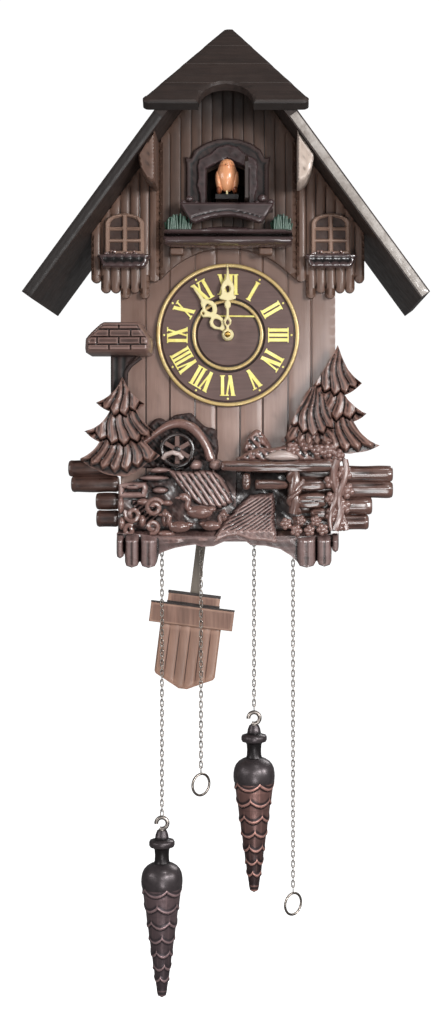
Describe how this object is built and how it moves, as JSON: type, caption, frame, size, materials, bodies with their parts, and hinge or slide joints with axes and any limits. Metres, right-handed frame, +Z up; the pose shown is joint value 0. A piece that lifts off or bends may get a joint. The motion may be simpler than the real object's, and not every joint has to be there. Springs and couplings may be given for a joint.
{
  "type": "cuckoo clock",
  "caption": "Wall cuckoo clock with a chalet case, a bird behind a small door, pine-cone weights on chains and a swinging pendulum.",
  "frame": {"origin": "the point on the wall plane where the clock hangs, at the top of the nail hole in the back panel", "axes": "+Z up, +Y into the wall, -Y the way the dial faces, +X to the right of a person who looks at the dial"},
  "size_m": [0.352, 0.178, 0.8905],
  "materials": {
    "roof_wood": "very dark brown stained wood, satin lacquer",
    "wall_wood": "dark brown stained boards, satin lacquer",
    "panel_wood": "taupe brown stained boards, satin lacquer",
    "carved_wood": "hand-carved wood, dark stain in the grooves, glossy lacquer",
    "log_wood": "brown stained round wood, satin lacquer",
    "dial_wood": "turned brown wood with cream-gilt rings and numerals",
    "plain_wood": "lightly stained plain wood",
    "bird_wood": "pale orange stained carved wood, glossy",
    "cream_plastic": "cream moulded plastic, satin",
    "cast_iron": "dark bronze-brown painted casting with worn coppery scale edges",
    "steel": "plain steel",
    "chain_steel": "bright nickel-plated wire",
    "brass": "rolled brass sheet and turned brass"
  },
  "bodies": {
    "case": {"front_panel": "panel_wood", "back_panel": "plain_wood", "left_side_board": "panel_wood", "right_side_board": "panel_wood", "bottom_board": "panel_wood", "left_roof_board": "roof_wood", "right_roof_board": "roof_wood", "front_hip_roof": "roof_wood", "left_knee_brace": "carved_wood", "right_knee_brace": "carved_wood", "upper_wall": "wall_wood", "left_wing": "wall_wood", "right_wing": "wall_wood", "left_window": "carved_wood", "right_window": "carved_wood", "door_surround": "wall_wood", "balcony": "carved_wood", "planter": "carved_wood", "dial": "dial_wood", "left_pine": "carved_wood", "right_pine": "carved_wood", "mill_house": "carved_wood", "wheel_arch": "carved_wood", "ground_carving": "carved_wood", "fence": "carved_wood", "base_board": "carved_wood", "left_log_stack": "log_wood", "right_log_stack": "log_wood", "front_plate": "brass", "back_plate": "brass", "gong": "steel", "left_whistle": "plain_wood", "right_whistle": "plain_wood"},
    "minute_hand": {"minute_hand": "cream_plastic", "centre_wheel": "brass"},
    "hour_hand": {"hour_hand": "cream_plastic"},
    "escape_wheel": {"escape_wheel": "brass"},
    "anchor": {"anchor": "steel"},
    "pendulum": {"pendulum_rod": "plain_wood"},
    "pendulum_bob": {"pendulum_bob": "plain_wood"},
    "left_weight": {"left_weight": "cast_iron", "left_weight_chain": "chain_steel"},
    "left_ring": {"left_pull_ring": "chain_steel", "left_ring_chain": "chain_steel"},
    "left_sprocket": {"left_sprocket": "brass"},
    "right_weight": {"right_weight": "cast_iron", "right_weight_chain": "chain_steel"},
    "right_ring": {"right_pull_ring": "chain_steel", "right_ring_chain": "chain_steel"},
    "right_sprocket": {"right_sprocket": "brass"},
    "bird": {"bird": "bird_wood", "bird_arm": "plain_wood"},
    "bird_door": {"bird_door": "wall_wood"},
    "left_bellows": {"left_bellows_lid": "plain_wood"},
    "right_bellows": {"right_bellows_lid": "plain_wood"},
    "gong_hammer": {"gong_hammer": "steel"},
    "mill_wheel": {"mill_wheel": "carved_wood"},
    "back_door": {"back_door": "plain_wood"}
  },
  "joints": [
    {"name": "minute_hand_turn", "type": "hinge", "parent": "case", "child": "minute_hand", "pos_m": [0, -0.12, -0.185], "axis": [0, 1, 0], "continuous": true},
    {"name": "hour_hand_turn", "type": "hinge", "parent": "case", "child": "hour_hand", "pos_m": [0, -0.12, -0.185], "axis": [0, 1, 0], "continuous": true},
    {"name": "escape_wheel_turn", "type": "hinge", "parent": "case", "child": "escape_wheel", "pos_m": [0, -0.066, -0.133], "axis": [0, 1, 0], "continuous": true},
    {"name": "pendulum_swing", "type": "hinge", "parent": "case", "child": "pendulum", "pos_m": [0, -0.035, -0.155], "axis": [0, 1, 0], "range_deg": [-14.3, 0.5]},
    {"name": "anchor_rock", "type": "hinge", "parent": "case", "child": "anchor", "pos_m": [0, -0.066, -0.155], "axis": [0, 1, 0], "range_deg": [-14.5, 0.7]},
    {"name": "bob_adjust", "type": "slide", "parent": "pendulum", "child": "pendulum_bob", "axis": [0.1245, 0, 0.9922], "range_m": [-0.008, 0.012]},
    {"name": "left_weight_travel", "type": "slide", "parent": "case", "child": "left_weight", "axis": [0, 0, 1], "range_m": [-0.12, 0.12]},
    {"name": "left_ring_travel", "type": "slide", "parent": "case", "child": "left_ring", "axis": [0, 0, 1], "range_m": [-0.12, 0.12]},
    {"name": "left_sprocket_turn", "type": "hinge", "parent": "case", "child": "left_sprocket", "pos_m": [-0.044, -0.075, -0.205], "axis": [0, 1, 0], "continuous": true},
    {"name": "right_weight_travel", "type": "slide", "parent": "case", "child": "right_weight", "axis": [0, 0, 1], "range_m": [-0.12, 0.12]},
    {"name": "right_ring_travel", "type": "slide", "parent": "case", "child": "right_ring", "axis": [0, 0, 1], "range_m": [-0.12, 0.12]},
    {"name": "right_sprocket_turn", "type": "hinge", "parent": "case", "child": "right_sprocket", "pos_m": [0.041, -0.075, -0.205], "axis": [0, 1, 0], "continuous": true},
    {"name": "bird_slide", "type": "slide", "parent": "case", "child": "bird", "axis": [0, 1, 0], "range_m": [0, 0.045]},
    {"name": "bird_door_swing", "type": "hinge", "parent": "case", "child": "bird_door", "pos_m": [0.0181, -0.125, -0.05], "axis": [0, 0, -1], "range_deg": [0, 92]},
    {"name": "left_bellows_lift", "type": "hinge", "parent": "case", "child": "left_bellows", "pos_m": [-0.0804, -0.046, -0.126], "axis": [1, 0, 0], "range_deg": [0, 13.5]},
    {"name": "right_bellows_lift", "type": "hinge", "parent": "case", "child": "right_bellows", "pos_m": [0.0804, -0.046, -0.126], "axis": [1, 0, 0], "range_deg": [0, 13.5]},
    {"name": "gong_hammer_swing", "type": "hinge", "parent": "case", "child": "gong_hammer", "pos_m": [0.064, -0.035, -0.227], "axis": [0, -1, 0], "range_deg": [0, 20]},
    {"name": "mill_wheel_turn", "type": "hinge", "parent": "case", "child": "mill_wheel", "pos_m": [-0.045, -0.119, -0.288], "axis": [0, 1, 0], "continuous": true},
    {"name": "back_door_swing", "type": "hinge", "parent": "case", "child": "back_door", "pos_m": [-0.0378, -0.0016, -0.193], "axis": [0, 0, 1], "range_deg": [0, 100]}
  ],
  "couplings": [
    {"joint": "hour_hand_turn", "follows": "minute_hand_turn", "ratio": 0.083333},
    {"joint": "anchor_rock", "follows": "pendulum_swing", "ratio": 1},
    {"joint": "left_ring_travel", "follows": "left_weight_travel", "ratio": -1},
    {"joint": "left_sprocket_turn", "follows": "left_weight_travel", "rad_per_m": 55.556},
    {"joint": "right_ring_travel", "follows": "right_weight_travel", "ratio": -1},
    {"joint": "right_sprocket_turn", "follows": "right_weight_travel", "rad_per_m": 55.556},
    {"joint": "bird_door_swing", "follows": "bird_slide", "rad_per_m": 35.6}
  ]
}
